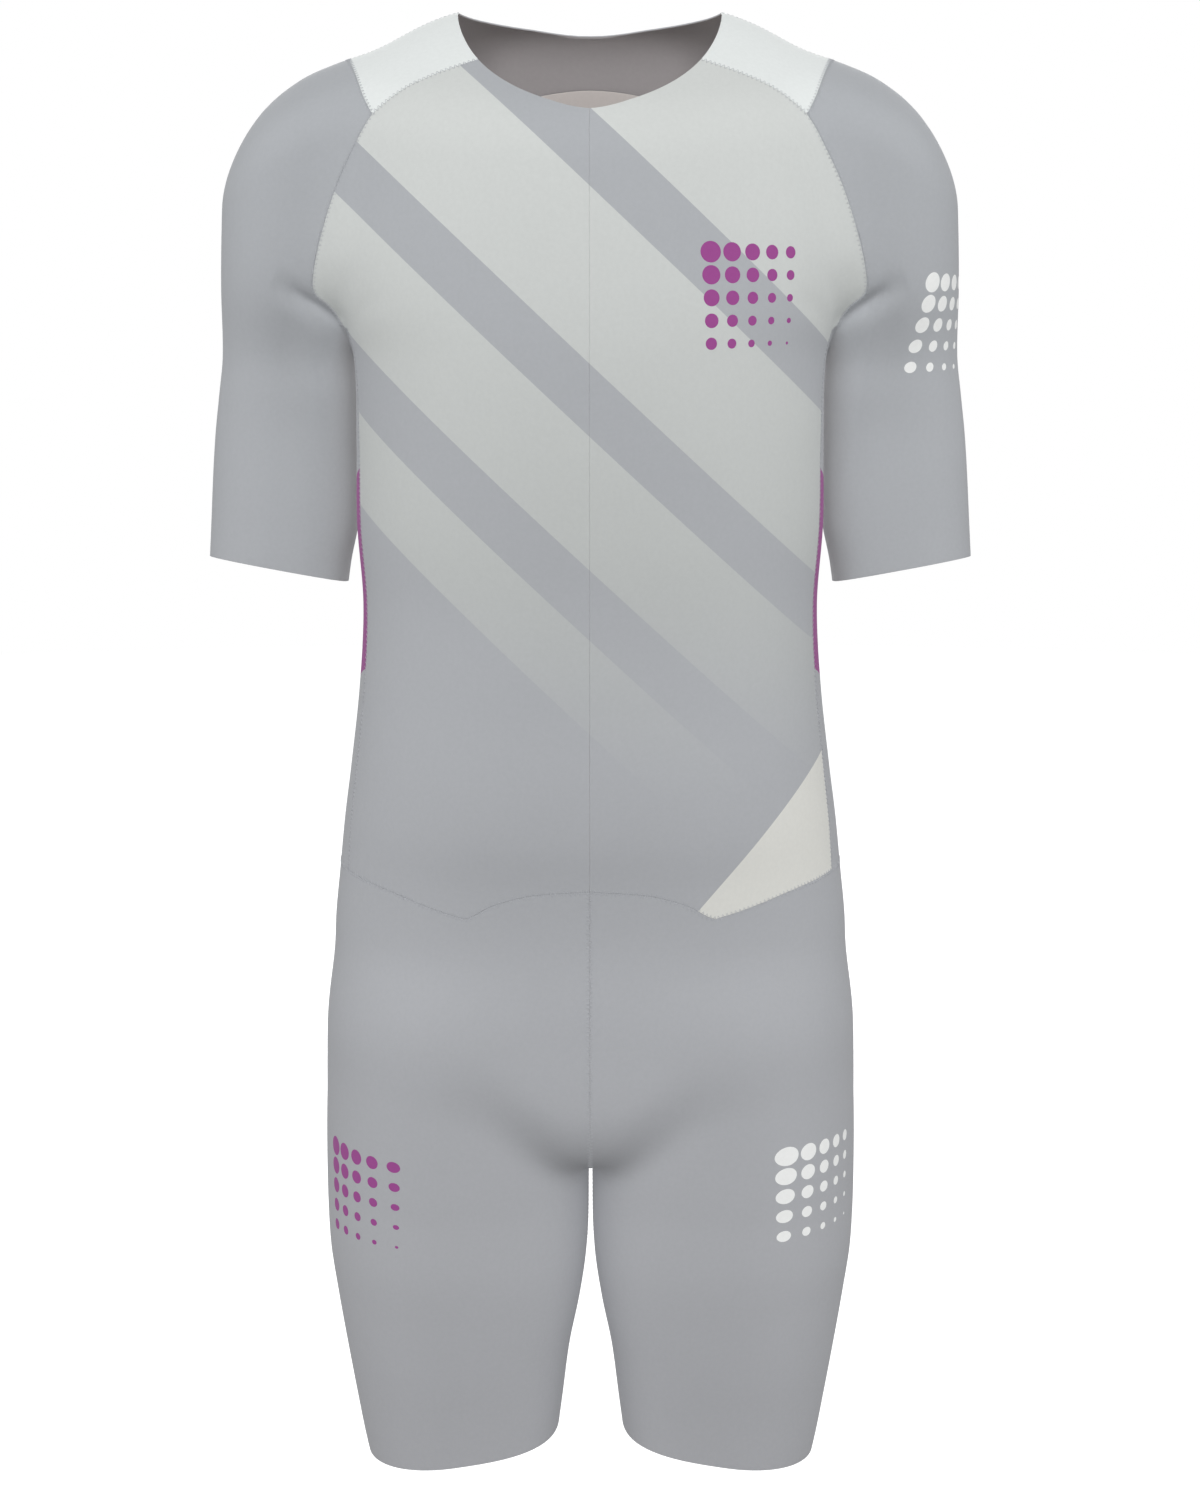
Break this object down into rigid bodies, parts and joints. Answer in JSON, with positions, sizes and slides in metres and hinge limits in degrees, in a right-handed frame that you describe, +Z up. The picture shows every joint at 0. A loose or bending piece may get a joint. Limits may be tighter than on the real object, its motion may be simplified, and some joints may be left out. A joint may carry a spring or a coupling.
{
  "type": "cycling skinsuit",
  "caption": "One-piece short-sleeved cycling skinsuit in its worn shape: close torso, open neck, sleeves over the upper arms and fitted shorts legs, in cut-and-sewn cloth panels.",
  "frame": {"origin": "midway between the two points where the neck edge crosses the shoulder ridge, which is where the wearer's shoulders carry the suit", "axes": "+Z up the wearer's body, -Y the way the chest faces, +X towards the wearer's left"},
  "size_m": [0.4744, 0.2237, 0.9011],
  "materials": {
    "body_knit": "matt fine stretch knit, cool grey",
    "print_knit": "matt fine stretch knit, printed off-white fading to grey",
    "shoulder_knit": "matt fine stretch knit, off-white",
    "side_knit": "matt fine stretch knit, purple and grey print",
    "zip_tape": "woven tape with small plastic teeth"
  },
  "bodies": {
    "root": {"front_left": "print_knit", "front_right": "print_knit", "shoulder_left": "shoulder_knit", "shoulder_right": "shoulder_knit", "side_left": "side_knit", "side_right": "side_knit", "back": "body_knit", "back_yoke": "body_knit", "sleeve_left": "body_knit", "sleeve_right": "body_knit", "leg_left": "body_knit", "leg_right": "body_knit", "front_zip": "zip_tape"}
  },
  "joints": []
}
